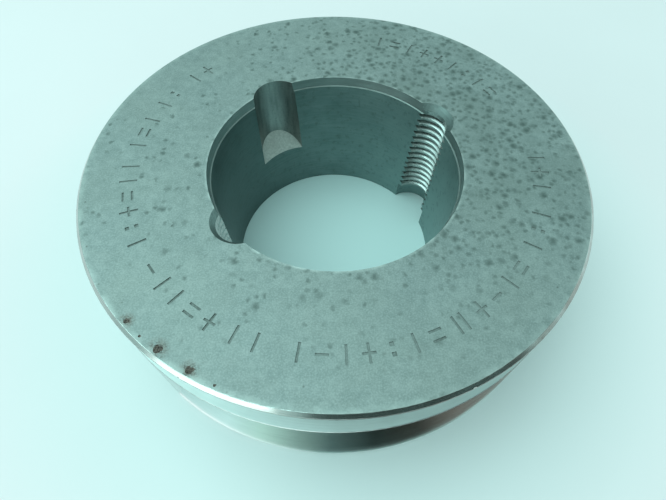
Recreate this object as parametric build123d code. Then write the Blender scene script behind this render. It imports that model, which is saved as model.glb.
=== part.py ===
"""One-groove V belt pulley with a taper bore, made from a single iron casting.

Frame: +Z is the bore axis, the underside face is z = 0 and the large end of the bore opens in the top face.
Angles run anticlockwise from +X, seen from above.
"""

import os
from math import atan2, cos, degrees, radians, sin, tan

from build123d import *

# Body
outer_diameter = 94.0
height = 28.6
rim_chamfer = 0.6
base_relief_height = 3.1
base_relief_depth = 0.45
edge_round = 0.15

# Belt groove, measured down from the top face
lip_height = 0.95
groove_opening = 7.85
groove_angle = 38.0
groove_depth = 7.6
groove_root_round = 0.8

# Taper bore for a split bush with an 8 degree included taper. A shallow lead-in opens the mouth,
# and a narrow ledge joins it to the taper.
bore_mouth_diameter = 48.0
lead_in_diameter = 47.45
lead_in_height = 1.8
ledge_height = 0.15
taper_mouth_diameter = 47.0
bore_half_angle = 4.0
bore_foot_chamfer = 0.12

# Half-holes shared between the pulley and its bush: two tapped, one smooth and blind
screw_circle_radius = 21.5
tapped_angles = [31.2, 220.0]
blind_circle_radius = 21.2
blind_angle = 124.3
blind_diameter = 10.3
blind_outer_depth = 13.6
blind_inner_depth = 17.2

# 3/8 inch screw thread, 16 turns to the inch
thread_pitch = 25.4 / 16
thread_major_diameter = 9.525
thread_minor_diameter = 7.94
thread_top = 0.3
thread_bottom = 24.3
tap_sweep = 270
clearance_diameter = 10.0
countersink_diameter = 10.3

# Marks punched into the top face: groups of plain symbols on one circle. Each group runs clockwise
# from its start angle.
mark_circle_radius = 38.0
mark_height = 3.2
mark_width = 2.1
mark_step = 3.55
stroke_width = 0.42
dot_width = 0.7
mark_depth = 0.16
mark_groups = [
    (362.0, "|+|"),
    (341.5, "|:|"),
    (323.0, "=|-+|"),
    (299.5, "|=|:+"),
    (273.0, "|-|"),
    (252.5, "||"),
    (240.5, "+=||-"),
    (210.0, "|:+=||"),
    (175.0, "|=|"),
    (157.0, "|:"),
    (142.5, "|+"),
    (75.0, "|=|+"),
    (53.5, "+|:|="),
]

# Corrosion pits near the edge of the top face: radius from the axis, angle, width
pits = [(45.6, 226.6, 0.8), (45.7, 231.0, 0.4), (45.5, 235.6, 1.2), (45.5, 243.2, 1.1), (45.8, 248.8, 0.4)]
pit_depth_ratio = 0.26

# Nicks knocked into the rim: angle and height of the middle, width
nicks = [(-64.5, 28.15, 0.8), (-55.0, 19.9, 0.7), (-118.0, 28.1, 0.6), (18.0, 28.2, 0.9), (96.0, 19.9, 0.8)]
nick_depth_ratio = 0.2

outer_radius = outer_diameter / 2
groove_top = height - lip_height
groove_bottom = groove_top - groove_opening
flank_rise = groove_depth * tan(radians(groove_angle / 2))
root_radius = outer_radius - groove_depth
taper_top = height - lead_in_height - ledge_height


def bore_radius(level):
    """Radius of the taper at a height above the underside."""
    return taper_mouth_diameter / 2 - (taper_top - level) * tan(radians(bore_half_angle))


def on_circle(radius, angle, z=0.0):
    """A place at a radius and an angle from the bore axis, with its X pointing away from the axis."""
    return Location((radius * cos(radians(angle)), radius * sin(radians(angle)), z), (0, 0, angle))


def turned_body():
    """The ring that a lathe leaves: half its section, turned about the bore axis."""
    outline = Polyline(
        (bore_radius(0) + bore_foot_chamfer, 0),
        (outer_radius - base_relief_depth, 0),
        (outer_radius, base_relief_height),
        (outer_radius, groove_bottom),
        (root_radius, groove_bottom + flank_rise),
        (root_radius, groove_top - flank_rise),
        (outer_radius, groove_top),
        (outer_radius, height - rim_chamfer),
        (outer_radius - rim_chamfer, height),
        (bore_mouth_diameter / 2, height),
        (lead_in_diameter / 2, height - lead_in_height),
        (taper_mouth_diameter / 2, taper_top),
        (bore_radius(bore_foot_chamfer), bore_foot_chamfer),
        close=True,
    )
    section = make_face(outline)
    root_corners = section.vertices().filter_by(lambda v: abs(v.X - root_radius) < 0.01)
    section = fillet(root_corners, groove_root_round)
    rim_corners = section.vertices().filter_by(lambda v: v.X > outer_radius - base_relief_depth - 0.2)
    section = fillet(rim_corners, edge_round)
    return revolve(Plane.XZ * section, Axis.Z)


def drill(diameter, low, high):
    """A plain drill or counterbore, standing between two heights."""
    length = high - low
    return Pos(0, 0, low + length / 2) * Cylinder(diameter / 2, length)


def tap(low, high):
    """The teeth of a tap, one for each turn of the thread, on the side that faces away from the bore."""
    major = thread_major_diameter / 2
    inner = thread_minor_diameter / 2 - 0.05
    half_crest = thread_pitch / 16
    half_root = half_crest + (major - inner) * tan(radians(30))
    tooth = make_face(
        Polyline(
            (major, -half_crest),
            (major, half_crest),
            (inner, half_root),
            (inner, -half_root),
            close=True,
        )
    )
    helix = Helix(pitch=thread_pitch, height=thread_pitch * tap_sweep / 360, radius=major)
    turn = Rot(0, 0, -tap_sweep / 2) * sweep(Plane.XZ * tooth, helix, is_frenet=True)
    turns = int((high - low) / thread_pitch)
    return [Pos(0, 0, low + (index + 0.2) * thread_pitch) * turn for index in range(turns)]


def tapped_hole():
    """The plain tools for one tapped half-hole: drill, clearance below the thread and countersink."""
    sink_depth = (countersink_diameter - thread_minor_diameter) / 2
    hole = drill(thread_minor_diameter, -1, height + 1)
    hole += drill(clearance_diameter, -1, height - thread_bottom)
    sink = Pos(0, 0, height - sink_depth / 2)
    return hole + sink * Cone(thread_minor_diameter / 2, countersink_diameter / 2, sink_depth)


def blind_hole():
    """The smooth half-hole: its flat floor slopes down from the outer wall to the bore."""
    wall_distance = blind_diameter / 2
    bore_distance = bore_radius(height - blind_inner_depth) - blind_circle_radius
    slope = degrees(atan2(blind_inner_depth - blind_outer_depth, wall_distance - bore_distance))
    floor = Plane((wall_distance, 0, height - blind_outer_depth)).rotated((0, -slope, 0))
    hole = drill(blind_diameter, 0, height + 1)
    return split(hole, bisect_by=floor, keep=Keep.TOP)


def strokes(symbol):
    """Middle and size of each stroke of a punched symbol: out from the axis, across, tall, wide."""
    bar = (0, 0, mark_height, stroke_width)
    shapes = {
        "|": [bar],
        "-": [(0, 0, stroke_width, mark_width)],
        "+": [bar, (0, 0, stroke_width, mark_width)],
        "=": [(side * mark_height / 4, 0, stroke_width, mark_width) for side in (-1, 1)],
        ":": [(side * mark_height / 4, 0, dot_width, dot_width) for side in (-1, 1)],
    }
    return shapes[symbol]


def punched_marks():
    """Every stroke of the mark groups, as a small block sunk into the top face."""
    step = degrees(mark_step / mark_circle_radius)
    blocks = []
    for start, symbols in mark_groups:
        for index, symbol in enumerate(symbols):
            place = on_circle(mark_circle_radius, start - index * step, height)
            for out, across, tall, wide in strokes(symbol):
                blocks.append(place * Pos(out, across, 0) * Box(tall, wide, 2 * mark_depth))
    return blocks


def bowl(place, width, depth):
    """A ball that leaves a shallow round hollow of the given width where place's Z leaves the surface."""
    ball = (width**2 / 4 + depth**2) / (2 * depth)
    return place * Pos(0, 0, ball - depth) * Sphere(ball)


def corrosion_pits():
    """Ragged hollows left by rust: a main bowl with two smaller ones that overlap it."""
    bowls = []
    for radius, angle, width in pits:
        for side, size in ((0, 1.0), (0.32, 0.62), (-0.28, 0.5)):
            place = on_circle(radius - abs(side) * width, angle, height) * Pos(0, side * width, 0)
            bowls.append(bowl(place, size * width, size * width * pit_depth_ratio))
    return bowls


def rim_nicks():
    """Small knocks in the turned rim."""
    return [
        bowl(on_circle(outer_radius, angle, level) * Rot(0, 90, 0), width, width * nick_depth_ratio)
        for angle, level, width in nicks
    ]


def pulley():
    body = turned_body()
    for angle in tapped_angles:
        place = on_circle(screw_circle_radius, angle)
        body -= place * tapped_hole()
        for tooth in tap(height - thread_bottom, height - thread_top):
            body -= place * tooth
    body -= on_circle(blind_circle_radius, blind_angle) * blind_hole()
    body -= punched_marks()
    body -= corrosion_pits()
    body -= rim_nicks()
    return body


os.makedirs("parts", exist_ok=True)
export_step(pulley(), "parts/pulley.step")
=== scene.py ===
"""Looks of the taper-bored V belt pulley: bare iron on a pale table, in soft daylight from the left."""

from math import cos, hypot, radians, sin, tan

import bpy
from mathutils import Matrix, Vector


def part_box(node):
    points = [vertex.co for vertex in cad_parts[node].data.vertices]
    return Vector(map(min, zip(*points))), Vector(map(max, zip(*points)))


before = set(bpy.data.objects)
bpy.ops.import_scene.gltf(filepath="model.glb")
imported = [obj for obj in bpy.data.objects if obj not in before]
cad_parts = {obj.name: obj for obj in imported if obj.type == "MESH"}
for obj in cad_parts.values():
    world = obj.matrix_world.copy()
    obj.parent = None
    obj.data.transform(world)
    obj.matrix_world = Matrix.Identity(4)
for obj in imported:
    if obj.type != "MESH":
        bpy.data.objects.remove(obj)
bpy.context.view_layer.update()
MM = 0.001

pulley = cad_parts["pulley"]
low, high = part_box("pulley")
OUTER_RADIUS = (high.x - low.x) / 2
TOP = high.z

# Places on the casting, in metres. Depths are measured down from the top face.
RIM_CHAMFER = 0.6 * MM
FACE_EDGE_RADIUS = OUTER_RADIUS - RIM_CHAMFER
LIP_DEPTH = 0.95 * MM
GROOVE_OPENING = 7.85 * MM
GROOVE_ROOT_RADIUS = OUTER_RADIUS - 7.6 * MM
FOOT_HEIGHT = 3.1 * MM
BORE_MOUTH_RADIUS = 24.0 * MM
LEAD_IN_DEPTH = 1.8 * MM
LEAD_IN_SLOPE = 0.15
LEDGE_DEPTH = 1.95 * MM
TAPER_MOUTH_RADIUS = 23.5 * MM
TAPER_ANGLE = radians(4)
COUNTERSINK_DEPTH = 1.2 * MM
THREAD_DEPTH = 24.3 * MM
BLIND_HOLE_CENTRE_RADIUS = 21.2 * MM
BLIND_HOLE_ANGLE = radians(124.3)
BLIND_HOLE_RADIUS = 5.15 * MM
DEEPEST_MARK = 0.6 * MM

# The punched marks stay inside this radius and the pits outside it
MARKS_END_RADIUS = 42.5 * MM

# Brown stains round the larger pits: angle in degrees, reach
PIT_CIRCLE_RADIUS = 45.5 * MM
PIT_STAINS = [(226.6, 1.5 * MM), (235.6, 2.1 * MM), (243.2, 1.9 * MM)]

# How far a facet's centre may stray from the surface that it belongs to
SLACK = 0.05 * MM


# ---------------------------------------------------------------- node helpers

class Graph:
    """A material's node tree, with short ways to add nodes and join them."""

    def __init__(self, name):
        self.material = bpy.data.materials.new(name)
        self.material.use_nodes = True
        self.tree = self.material.node_tree
        self.tree.nodes.clear()
        self.output = self.tree.nodes.new("ShaderNodeOutputMaterial")
        self.shader = self.tree.nodes.new("ShaderNodeBsdfPrincipled")
        self.join(self.shader.outputs[0], self.output.inputs["Surface"])
        self.place = self.tree.nodes.new("ShaderNodeTexCoord").outputs["Object"]

    def join(self, source, target):
        self.tree.links.new(source, target)

    def feed(self, value, target):
        """Joins a node's output to the target, or sets a plain number or colour on it."""
        if isinstance(value, bpy.types.NodeSocket):
            self.join(value, target)
        elif isinstance(value, tuple):
            target.default_value = (*value, 1.0)
        else:
            target.default_value = value

    def math(self, kind, a, b=0.0):
        node = self.tree.nodes.new("ShaderNodeMath")
        node.operation = kind
        self.feed(a, node.inputs[0])
        self.feed(b, node.inputs[1])
        return node.outputs[0]

    def noise(self, size, detail=4.0, roughness=0.55, place=None):
        """Noise whose blobs are about size metres across."""
        node = self.tree.nodes.new("ShaderNodeTexNoise")
        node.inputs["Scale"].default_value = 1 / size
        node.inputs["Detail"].default_value = detail
        node.inputs["Roughness"].default_value = roughness
        self.join(place or self.place, node.inputs["Vector"])
        return node.outputs[0]

    def stretched(self, along_x, along_y, along_z):
        """The place with each axis scaled: what is drawn with it is longer where the scale is small."""
        node = self.tree.nodes.new("ShaderNodeVectorMath")
        node.operation = "MULTIPLY"
        self.join(self.place, node.inputs[0])
        node.inputs[1].default_value = (along_x, along_y, along_z)
        return node.outputs[0]

    def cells(self, size, place):
        """Points about size metres apart: distance to the nearest, in sizes, and its own random colour."""
        node = self.tree.nodes.new("ShaderNodeTexVoronoi")
        node.inputs["Scale"].default_value = 1 / size
        self.join(place, node.inputs["Vector"])
        return node.outputs["Distance"], node.outputs["Color"]

    def shaken(self, size, amount):
        """The place pushed about by noise, so that round things drawn with it come out ragged."""
        noise = self.tree.nodes.new("ShaderNodeTexNoise")
        noise.inputs["Scale"].default_value = 1 / size
        noise.inputs["Detail"].default_value = 2.0
        self.join(self.place, noise.inputs["Vector"])
        push = self.tree.nodes.new("ShaderNodeVectorMath")
        push.operation = "MULTIPLY_ADD"
        self.join(noise.outputs["Color"], push.inputs[0])
        push.inputs[1].default_value = (amount, amount, amount)
        self.join(self.place, push.inputs[2])
        return push.outputs[0]

    def spots(self, size, width, share, place):
        """Soft round spots, size metres apart and width metres across. Share is the part that is there."""
        distance, lots = self.cells(size, place)
        there = self.ramp(self.math("SUBTRACT", share, self.split(lots)[0]), -0.03, 0.12)
        reach = width / size / 2
        return self.math("MULTIPLY", there, self.ramp(distance, reach * 1.25, reach * 0.35))

    def ramp(self, value, low_value, high_value, low_to=0.0, high_to=1.0):
        """Runs from low_to to high_to as value runs from low_value to high_value, and is level beyond."""
        node = self.tree.nodes.new("ShaderNodeMapRange")
        node.inputs["From Min"].default_value = low_value
        node.inputs["From Max"].default_value = high_value
        node.inputs["To Min"].default_value = low_to
        node.inputs["To Max"].default_value = high_to
        self.join(value, node.inputs["Value"])
        return node.outputs[0]

    def blend_of(self, value, stops):
        """A colour that follows value through (value, colour) stops."""
        first, last = stops[0][0], stops[-1][0]
        node = self.tree.nodes.new("ShaderNodeValToRGB")
        marks = node.color_ramp.elements
        while len(marks) < len(stops):
            marks.new(0.5)
        for mark, (at, colour) in zip(marks, stops):
            mark.position = (at - first) / (last - first)
            mark.color = (*colour, 1.0)
        self.join(self.ramp(value, first, last), node.inputs[0])
        return node.outputs[0]

    def mix(self, factor, a, b):
        node = self.tree.nodes.new("ShaderNodeMix")
        node.data_type = "RGBA"
        self.feed(factor, node.inputs[0])
        self.feed(a, node.inputs[6])
        self.feed(b, node.inputs[7])
        return node.outputs[2]

    def split(self, vector=None):
        """X, Y and Z of a vector, or of the place."""
        node = self.tree.nodes.new("ShaderNodeSeparateXYZ")
        self.join(vector or self.place, node.inputs[0])
        return list(node.outputs)

    def length(self, a, b):
        """Length of a step of a along one axis and of b along another."""
        square = self.math("ADD", self.math("MULTIPLY", a, a), self.math("MULTIPLY", b, b))
        return self.math("SQRT", square)

    def lathe_place(self, along, around):
        """Coordinates for lathe lines: they grow by around in a radian and by along in a metre up or out."""
        x, y, z = self.split()
        node = self.tree.nodes.new("ShaderNodeCombineXYZ")
        self.join(self.math("MULTIPLY", self.math("ARCTAN2", y, x), around), node.inputs[0])
        self.join(self.math("MULTIPLY", self.length(x, y), along), node.inputs[1])
        self.join(self.math("MULTIPLY", z, along), node.inputs[2])
        return node.outputs[0]

    def bump(self, height, distance, strength=1.0):
        node = self.tree.nodes.new("ShaderNodeBump")
        node.inputs["Distance"].default_value = distance
        node.inputs["Strength"].default_value = strength
        self.join(height, node.inputs["Height"])
        return node.outputs[0]

    def brushed(self, amount):
        """Stretches reflections across the lathe lines, which run round the bore axis."""
        tangent = self.tree.nodes.new("ShaderNodeTangent")
        tangent.direction_type = "RADIAL"
        tangent.axis = "Z"
        self.join(tangent.outputs[0], self.shader.inputs["Tangent"])
        self.shader.inputs["Anisotropic"].default_value = amount
        self.shader.inputs["Anisotropic Rotation"].default_value = 0.25

    def finish(self, colour, metallic, roughness, normal=None):
        """Feeds the surface shader and gives back the material."""
        self.feed(colour, self.shader.inputs["Base Color"])
        self.feed(metallic, self.shader.inputs["Metallic"])
        self.feed(roughness, self.shader.inputs["Roughness"])
        if normal is not None:
            self.join(normal, self.shader.inputs["Normal"])
        return self.material


# ---------------------------------------------------------------- materials

def cast_face():
    """The top and under faces: ground casting skin, matt and mottled, with spots of old rust."""
    g = Graph("cast_face")
    x, y, _ = g.split()
    radius = g.length(x, y)
    broad = g.noise(16 * MM, detail=3)
    mottle = g.noise(1.6 * MM, detail=6, roughness=0.62)
    grain = g.noise(0.28 * MM, detail=3, roughness=0.6)
    blot = g.noise(4.5 * MM, detail=3)
    colour = g.mix(g.ramp(mottle, 0.32, 0.68), (0.228, 0.258, 0.253), (0.338, 0.362, 0.355))
    colour = g.mix(g.ramp(blot, 0.42, 0.70, 0.0, 0.40), colour, (0.200, 0.228, 0.222))
    colour = g.mix(g.ramp(broad, 0.35, 0.7, 0.0, 0.35), colour, (0.31, 0.325, 0.30))
    colour = g.mix(g.ramp(grain, 0.48, 0.72, 0.0, 0.30), colour, (0.52, 0.54, 0.53))
    colour = g.mix(g.ramp(grain, 0.46, 0.26, 0.0, 0.32), colour, (0.15, 0.17, 0.16))

    # spots of old rust, dense towards the right and the back of the face and thin elsewhere, under painted
    # shade that darkens the right and the back of the face
    to_right = g.ramp(x, -0.45 * OUTER_RADIUS, 0.35 * OUTER_RADIUS)
    to_back = g.ramp(y, -0.85 * OUTER_RADIUS, 0.02 * OUTER_RADIUS)
    lean = g.math("MULTIPLY", to_right, to_back)
    patch = g.ramp(g.noise(6 * MM, detail=3), 0.32, 0.66, -0.18, 0.22)
    share = g.math("ADD", g.ramp(lean, 0.0, 1.0, 0.03, 1.0), patch)
    share = g.math("ADD", share, g.ramp(radius, 34 * MM, 40 * MM, 0.16, 0.0))
    ragged = g.shaken(0.8 * MM, 0.9 * MM)
    small = g.spots(1.3 * MM, 0.95 * MM, share, ragged)
    large = g.spots(2.3 * MM, 1.55 * MM, g.math("SUBTRACT", share, 0.15), ragged)
    blotches = g.math("MAXIMUM", g.math("MULTIPLY", small, 0.78), large)
    # painted shade: the face darkened in cloudy patches towards the right and the back
    right_painted_shade = g.math("MULTIPLY", g.ramp(lean, 0.3, 1.0), g.ramp(g.noise(8 * MM, detail=4), 0.38, 0.62))
    colour = g.mix(g.math("MULTIPLY", right_painted_shade, 0.36), colour, (0.14, 0.17, 0.16))
    strength = g.math("MULTIPLY", blotches, g.ramp(to_back, 0.0, 0.8, 0.45, 0.85))
    colour = g.mix(strength, colour, (0.085, 0.11, 0.10))

    # fine dark specks near the outer edge, and brown stains round the pits
    specks = g.spots(2.2 * MM, 0.42 * MM, g.ramp(radius, 38 * MM, 46 * MM, 0.0, 0.45), g.place)
    colour = g.mix(g.math("MULTIPLY", specks, 0.75), colour, (0.07, 0.075, 0.065))
    for angle, reach in PIT_STAINS:
        from_pit_x = g.math("SUBTRACT", x, PIT_CIRCLE_RADIUS * cos(radians(angle)))
        from_pit_y = g.math("SUBTRACT", y, PIT_CIRCLE_RADIUS * sin(radians(angle)))
        near = g.ramp(g.length(from_pit_x, from_pit_y), reach, 0.4 * MM)
        stain = g.math("MULTIPLY", near, g.ramp(g.noise(0.8 * MM), 0.36, 0.6))
        colour = g.mix(g.math("MULTIPLY", stain, 0.7), colour, (0.17, 0.12, 0.095))
        crust = g.math("MULTIPLY", near, g.ramp(g.noise(0.35 * MM, roughness=0.7), 0.50, 0.60))
        colour = g.mix(g.math("MULTIPLY", crust, 0.9), colour, (0.055, 0.042, 0.036))

    # lighter and smoother in ragged patches round the outer edge and the mouth of the bore
    edge_patch_noise = g.noise(2.4 * MM, detail=3)
    at_edge = g.ramp(radius, FACE_EDGE_RADIUS - 1.1 * MM, FACE_EDGE_RADIUS, 0.0, 0.55)
    at_bore = g.ramp(radius, BORE_MOUTH_RADIUS + 0.5 * MM, BORE_MOUTH_RADIUS)
    outer = g.math("MULTIPLY", at_edge, g.ramp(edge_patch_noise, 0.35, 0.62))
    inner = g.math("MULTIPLY", at_bore, g.ramp(edge_patch_noise, 0.4, 0.6))
    pale_edge_patches = g.math("MAXIMUM", outer, inner)
    colour = g.mix(g.math("MULTIPLY", pale_edge_patches, 0.8), colour, (0.52, 0.54, 0.52))

    roughness = g.math("ADD", g.ramp(mottle, 0.2, 0.8, 0.48, 0.60), g.math("MULTIPLY", blotches, 0.14))
    roughness = g.math("SUBTRACT", roughness, g.math("MULTIPLY", pale_edge_patches, 0.16))
    height = g.math("ADD", g.math("MULTIPLY", grain, 0.6), mottle)
    height = g.math("SUBTRACT", height, g.math("MULTIPLY", blotches, 0.5))
    return g.finish(colour, 0.55, roughness, g.bump(height, 0.060 * MM, 0.5))


def turned_metal(name, light, dark, smooth, rough, lines, rust=0.0, brushed=0.0, stain=0.4):
    """Iron fresh from a lathe tool: fine lines round the bore axis, with any rust on the right.

    Lines is the depth of the lathe lines in millimetres. Rust, brushed and stain run from 0, none, to 1.
    """
    g = Graph(name)
    fine = g.noise(1.0, detail=3, place=g.lathe_place(3800.0, 3.0))
    broad = g.noise(1.0, detail=2, place=g.lathe_place(900.0, 5.0))
    cloud = g.noise(4 * MM, detail=4)
    colour = g.mix(g.ramp(fine, 0.3, 0.7), dark, light)
    colour = g.mix(g.ramp(cloud, 0.42, 0.75, 0.0, stain), colour, tuple(0.6 * c for c in dark))
    if rust:
        x, y, _ = g.split()
        side = g.ramp(g.math("ADD", x, g.math("MULTIPLY", y, -0.35)), 8 * MM, 45 * MM)
        brown = g.math("MULTIPLY", side, g.ramp(g.noise(5 * MM, detail=6, roughness=0.65), 0.36, 0.58))
        colour = g.mix(g.math("MULTIPLY", brown, rust), colour, (0.19, 0.075, 0.045))
        distance, _ = g.cells(1.8 * MM, g.place)
        fleck = g.math("MULTIPLY", g.ramp(distance, 0.16, 0.09), g.ramp(g.noise(6 * MM), 0.45, 0.55))
        colour = g.mix(g.math("MULTIPLY", fleck, 0.35), colour, (0.16, 0.10, 0.075))
    roughness = g.ramp(broad, 0.3, 0.7, smooth, rough)
    if brushed:
        g.brushed(brushed)
    height = g.math("ADD", fine, g.math("MULTIPLY", broad, 0.6))
    return g.finish(colour, 1.0, roughness, g.bump(height, lines * MM))


def bored_wall():
    """The taper: dark bored iron with dull flecks of oil and rust; painted shade darkens its left side and
    painted light brightens its right side.
    """
    g = Graph("bored_wall")
    x, _, _ = g.split()
    fine = g.noise(1.0, detail=2, place=g.lathe_place(3000.0, 4.0))
    cloud = g.noise(6 * MM, detail=4)
    colour = g.mix(g.ramp(cloud, 0.35, 0.68), (0.145, 0.215, 0.21), (0.215, 0.30, 0.295))
    colour = g.mix(g.ramp(fine, 0.35, 0.7, 0.0, 0.22), colour, (0.36, 0.42, 0.41))
    # painted shade: the wall darker towards the left
    colour = g.mix(g.ramp(x, -2 * MM, -20 * MM, 0.0, 0.45), colour, (0.055, 0.080, 0.078))
    # painted light: the wall lighter towards the right
    colour = g.mix(g.ramp(x, 0.0, 17 * MM, 0.0, 0.40), colour, (0.34, 0.46, 0.45))
    flecks = g.ramp(g.noise(1.1 * MM, detail=4, roughness=0.65), 0.54, 0.68)
    colour = g.mix(g.math("MULTIPLY", flecks, 0.42), colour, (0.10, 0.13, 0.12))
    roughness = g.ramp(cloud, 0.3, 0.7, 0.42, 0.54)
    return g.finish(colour, 0.9, roughness, g.bump(fine, 0.006 * MM))


def drilled_wall():
    """The smooth half-hole: drilled iron with dull streaks down the wall."""
    g = Graph("drilled_wall")
    streak = g.noise(1.6 * MM, detail=3, place=g.stretched(1.0, 1.0, 0.15))
    crumbs = g.noise(0.5 * MM, detail=5, roughness=0.65)
    colour = g.mix(g.ramp(streak, 0.35, 0.65), (0.23, 0.255, 0.247), (0.40, 0.43, 0.415))
    colour = g.mix(g.ramp(crumbs, 0.52, 0.75, 0.0, 0.45), colour, (0.08, 0.085, 0.08))
    return g.finish(colour, 1.0, g.ramp(streak, 0.3, 0.7, 0.34, 0.46), g.bump(crumbs, 0.035 * MM))


def blind_floor():
    """The flat floor of the smooth half-hole: clean, freshly milled and faintly dusty."""
    g = Graph("blind_floor")
    crumbs = g.noise(0.45 * MM, detail=4)
    cloud = g.noise(3 * MM, detail=3)
    colour = g.mix(g.ramp(crumbs, 0.35, 0.65), (0.46, 0.45, 0.42), (0.60, 0.58, 0.55))
    colour = g.mix(g.ramp(cloud, 0.5, 0.75, 0.0, 0.5), colour, (0.42, 0.39, 0.37))
    return g.finish(colour, 0.25, 0.55, g.bump(crumbs, 0.03 * MM))


def rust_pit():
    """A pit: black in the bottom, with reddish crumbs of rust."""
    g = Graph("rust_pit")
    crumbs = g.noise(0.22 * MM, detail=5, roughness=0.75)
    colour = g.mix(g.ramp(crumbs, 0.40, 0.62), (0.028, 0.022, 0.020), (0.27, 0.20, 0.17))
    return g.finish(colour, 0.0, 0.75, g.bump(crumbs, 0.20 * MM))


def punched_mark():
    """The walls and floors of the punched strokes, darker than the face round them: painted shade in the
    recesses.
    """
    g = Graph("punched_mark")
    crumbs = g.noise(0.4 * MM, detail=4)
    patch = g.noise(11 * MM, detail=2)
    # painted shade: the strokes coloured darker than the face
    colour = g.mix(g.ramp(crumbs, 0.35, 0.65), (0.13, 0.145, 0.135), (0.23, 0.25, 0.24))
    colour = g.mix(g.ramp(patch, 0.42, 0.58, 0.0, 0.6), colour, (0.30, 0.32, 0.31))
    return g.finish(colour, 0.4, 0.6, g.bump(crumbs, 0.05 * MM))


def table_top():
    """The pale board that the pulley lies on, with the greener colour of shade painted under the bore and
    close round the rim.
    """
    g = Graph("table_top")
    x, y, _ = g.split()
    radius = g.length(x, y)
    cloud = g.noise(100 * MM, detail=3)
    colour = g.mix(g.ramp(cloud, 0.3, 0.7), (0.90, 0.755, 0.775), (0.93, 0.785, 0.805))
    # painted shade: the table tinted green-grey under the bore and close round the rim
    painted_shade_under_bore = g.ramp(radius, 34 * MM, BORE_MOUTH_RADIUS, 0.0, 0.85)
    painted_shade_round_rim = g.ramp(radius, 85 * MM, OUTER_RADIUS, 0.0, 0.55)
    colour = g.mix(g.math("MAXIMUM", painted_shade_under_bore, painted_shade_round_rim), colour, (0.70, 0.84, 0.835))
    return g.finish(colour, 0.0, 0.6)


# ---------------------------------------------------------------- regions of the casting

def in_blind_hole(centre):
    """Whether a point lies on the wall or floor of the smooth half-hole."""
    across = centre.x - BLIND_HOLE_CENTRE_RADIUS * cos(BLIND_HOLE_ANGLE)
    along = centre.y - BLIND_HOLE_CENTRE_RADIUS * sin(BLIND_HOLE_ANGLE)
    return hypot(across, along) < BLIND_HOLE_RADIUS + SLACK


def rim_region(depth, height):
    """Which finish a facet of the rim's turned outside has."""
    if depth < LIP_DEPTH:
        return "lip"
    return "foot" if height < FOOT_HEIGHT * 0.97 else "rim"


def bore_region(centre, normal, radius, depth):
    """Which finish a facet of the bore or of its half-holes has."""
    if depth < LEAD_IN_DEPTH and radius < BORE_MOUTH_RADIUS - depth * LEAD_IN_SLOPE + SLACK / 2:
        return "lead_in"
    if depth < LEDGE_DEPTH + SLACK / 2 and radius < TAPER_MOUTH_RADIUS + 5 * SLACK and normal.z > 0.2:
        return "ledge"
    if radius < TAPER_MOUTH_RADIUS - (depth - LEDGE_DEPTH) * tan(TAPER_ANGLE) + SLACK:
        return "bore"
    if in_blind_hole(centre):
        return "blind_floor" if normal.z > 0.5 else "blind_wall"
    if depth < COUNTERSINK_DEPTH:
        return "sink"
    return "bore" if depth > THREAD_DEPTH else "thread"


def region(centre, normal):
    """Which finish a small facet of the casting has, from where it lies and which way it faces."""
    radius = hypot(centre.x, centre.y)
    depth = TOP - centre.z
    level = abs(normal.z) > 0.99
    between_lips = LIP_DEPTH * 0.97 < depth < LIP_DEPTH + GROOVE_OPENING + SLACK
    if between_lips and radius > GROOVE_ROOT_RADIUS - 1 * MM:
        return "groove"
    if radius > FACE_EDGE_RADIUS - SLACK:
        return rim_region(depth, centre.z)
    if level and min(depth, centre.z) < SLACK / 5:
        return "face"
    if radius > BORE_MOUTH_RADIUS + BLIND_HOLE_RADIUS and depth < DEEPEST_MARK:
        return "pit" if radius > MARKS_END_RADIUS else "mark"
    return bore_region(centre, normal, radius, depth)


def dress(node):
    """Gives every facet of the casting the material of its region."""
    finishes = {
        "face": cast_face(),
        "lip": turned_metal(
            "turned_lip", (0.66, 0.67, 0.65), (0.52, 0.53, 0.51), 0.16, 0.26, lines=0.004, rust=0.4),
        "rim": turned_metal(
            "turned_rim", (0.64, 0.65, 0.63), (0.54, 0.55, 0.54), 0.12, 0.20, lines=0.0015, rust=0.6,
            brushed=0.35, stain=0.25),
        "foot": turned_metal(
            "turned_foot", (0.70, 0.72, 0.70), (0.58, 0.60, 0.59), 0.22, 0.34, lines=0.003, rust=0.25),
        "groove": turned_metal(
            "turned_groove", (0.62, 0.655, 0.645), (0.56, 0.595, 0.585), 0.34, 0.44, lines=0.004, stain=0.12),
        "bore": bored_wall(),
        "lead_in": turned_metal(
            "lead_in", (0.44, 0.51, 0.50), (0.35, 0.41, 0.40), 0.40, 0.50, lines=0.004, stain=0.2),
        "ledge": turned_metal(
            "ledge", (0.30, 0.33, 0.32), (0.18, 0.20, 0.19), 0.45, 0.60, lines=0.004, stain=0.5),
        "thread": turned_metal(
            "screw_thread", (0.52, 0.54, 0.525), (0.34, 0.36, 0.35), 0.24, 0.36, lines=0.003, stain=0.3),
        "sink": turned_metal(
            "countersink", (0.22, 0.265, 0.255), (0.15, 0.185, 0.18), 0.42, 0.55, lines=0.004),
        "blind_wall": drilled_wall(),
        "blind_floor": blind_floor(),
        "pit": rust_pit(),
        "mark": punched_mark(),
    }
    names = list(finishes)
    node.data.materials.clear()
    for name in names:
        node.data.materials.append(finishes[name])
    for facet in node.data.polygons:
        facet.material_index = names.index(region(facet.center, facet.normal))


# ---------------------------------------------------------------- stage, light and camera

def sheet(name, corners, faces, place, material):
    """A thin stage piece made of flat faces."""
    mesh = bpy.data.meshes.new(name)
    mesh.from_pydata(corners, [], faces)
    mesh.materials.append(material)
    piece = bpy.data.objects.new(name, mesh)
    piece.location = place
    bpy.context.scene.collection.objects.link(piece)
    return piece


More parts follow.
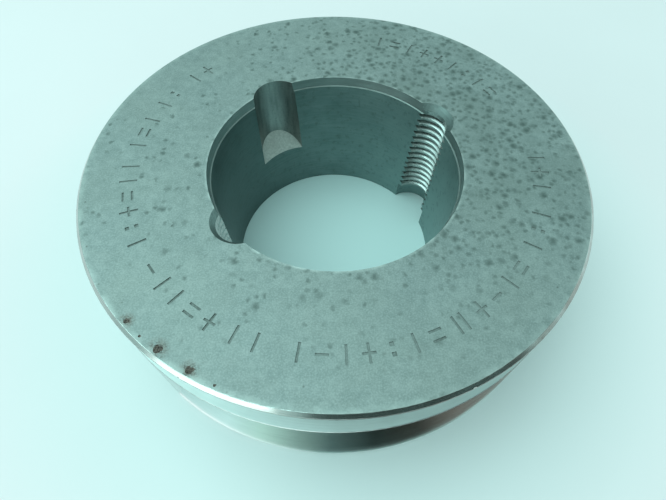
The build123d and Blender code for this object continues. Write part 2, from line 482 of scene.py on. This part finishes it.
def flat_panel(name, width, depth, place, material):
    """A level rectangle round its place."""
    half_w, half_d = width / 2, depth / 2
    corners = [(-half_w, -half_d, 0), (half_w, -half_d, 0), (half_w, half_d, 0), (-half_w, half_d, 0)]
    return sheet(name, corners, [(0, 1, 2, 3)], place, material)


def area_light(name, place, target, size, power, colour):
    """A rectangular lamp aimed at a target."""
    data = bpy.data.lights.new(name, "AREA")
    data.shape = "RECTANGLE"
    data.size, data.size_y = size
    data.energy = power
    data.color = colour
    light = bpy.data.objects.new(name, data)
    light.location = place
    light.rotation_euler = (Vector(target) - Vector(place)).to_track_quat("-Z", "Y").to_euler()
    bpy.context.scene.collection.objects.link(light)


def set_world(colour, strength):
    """Even light from all round."""
    world = bpy.data.worlds.new("soft_room")
    world.use_nodes = True
    background = world.node_tree.nodes["Background"]
    background.inputs[0].default_value = (*colour, 1.0)
    background.inputs[1].default_value = strength
    bpy.context.scene.world = world


def make_camera():
    """Close above the front of the pulley, looking down at its top face."""
    place = Vector((0.0, -62.62 * MM, TOP + 67.15 * MM))
    aim = Vector((-0.19 * MM, -19.91 * MM, TOP))
    roll = Matrix.Rotation(radians(0.53), 3, "Z").to_quaternion()
    data = bpy.data.cameras.new("camera")
    data.sensor_width = 36.0
    data.lens = 25.97
    data.clip_start = 5 * MM
    camera = bpy.data.objects.new("camera", data)
    camera.location = place
    camera.rotation_mode = "QUATERNION"
    camera.rotation_quaternion = (aim - place).to_track_quat("-Z", "Y") @ roll
    bpy.context.scene.collection.objects.link(camera)
    bpy.context.scene.camera = camera


def only_reflected(panel):
    """Leaves a stage panel visible in reflections alone: it is a painted reflection."""
    panel.visible_camera = False
    panel.visible_diffuse = False
    panel.visible_shadow = False


def painted_dark_reflection():
    """A dark card seen only in reflections, low in front of the pulley and to the right: a painted dark
    reflection.
    """
    g = Graph("painted_dark_reflection")
    grey = g.finish((0.075, 0.095, 0.093), 0.0, 0.8)
    # painted reflection: a dark card that only the metal's reflections see
    card = flat_panel("painted_dark_reflection", 0.40, 0.22, (0.145, -0.22, 0.10), grey)
    card.rotation_euler = (radians(80), 0, radians(20))
    only_reflected(card)


def painted_foot_reflection():
    """A painted reflection for the rim's foot: pale at the front left, dark in the middle, brownish at the
    right.

    It is a glowing strip round the front of the rim's foot, seen only in reflections, though it is no lamp.
    Stops are angles round the bore axis, in degrees.
    """
    g = Graph("painted_foot_reflection")
    x, y, _ = g.split()
    turn = g.math("DEGREES", g.math("ARCTAN2", y, x))
    room = g.blend_of(turn, [
        (-130, (0.36, 0.59, 0.58)),
        (-116, (0.45, 0.73, 0.71)),
        (-107, (0.36, 0.62, 0.55)),
        (-98, (0.17, 0.30, 0.27)),
        (-90, (0.055, 0.110, 0.105)),
        (-80, (0.010, 0.020, 0.018)),
        (-69, (0.025, 0.030, 0.025)),
        (-58, (0.115, 0.122, 0.108)),
        (-46, (0.155, 0.200, 0.185)),
        (-30, (0.28, 0.45, 0.43)),
    ])
    edge = g.blend_of(turn, [
        (-130, (0.95, 1.00, 1.00)),
        (-104, (0.72, 1.00, 0.98)),
        (-92, (0.30, 0.52, 0.50)),
        (-30, (0.32, 0.52, 0.50)),
    ])
    close = g.ramp(g.length(x, y), OUTER_RADIUS + 0.75 * MM, OUTER_RADIUS + 0.35 * MM)
    g.join(g.mix(close, room, edge), g.shader.inputs["Emission Color"])
    g.shader.inputs["Emission Strength"].default_value = 1.4
    glow = g.finish((0.0, 0.0, 0.0), 0.0, 1.0)

    # painted reflection: the glowing strip that only reflections see
    start, step, count = -130, 2.5, 40
    inner, outer = OUTER_RADIUS - 0.5 * MM, 72 * MM
    turns = [radians(start + step * index) for index in range(count + 1)]
    corners = [(radius * cos(angle), radius * sin(angle), 0) for angle in turns for radius in (inner, outer)]
    faces = [(2 * i, 2 * i + 1, 2 * i + 3, 2 * i + 2) for i in range(count)]
    only_reflected(sheet("painted_foot_reflection", corners, faces, (0, 0, low.z + 0.3 * MM), glow))


def light_stage():
    """Cool daylight: soft from all round, with a large lamp high on the left and two small low ones."""
    cool = (0.62, 1.0, 0.97)
    paler = (0.80, 0.98, 0.94)
    set_world(cool, 0.74)
    area_light("ceiling", (-0.32, 0.08, 0.76), (0, 0, 0), (0.7, 0.7), 3.6, cool)
    area_light("window", (-0.36, -0.44, 0.17), (0, 0, 0.02), (0.42, 0.28), 0.75, paler)
    area_light("doorway", (0.55, 0.22, 0.16), (0, 0, 0.03), (0.5, 0.24), 0.3, cool)
    bpy.context.scene.view_settings.view_transform = "Standard"


dress(pulley)
flat_panel("table", 3.0, 3.0, (0, 0, low.z), table_top())
painted_dark_reflection()
painted_foot_reflection()
light_stage()
make_camera()
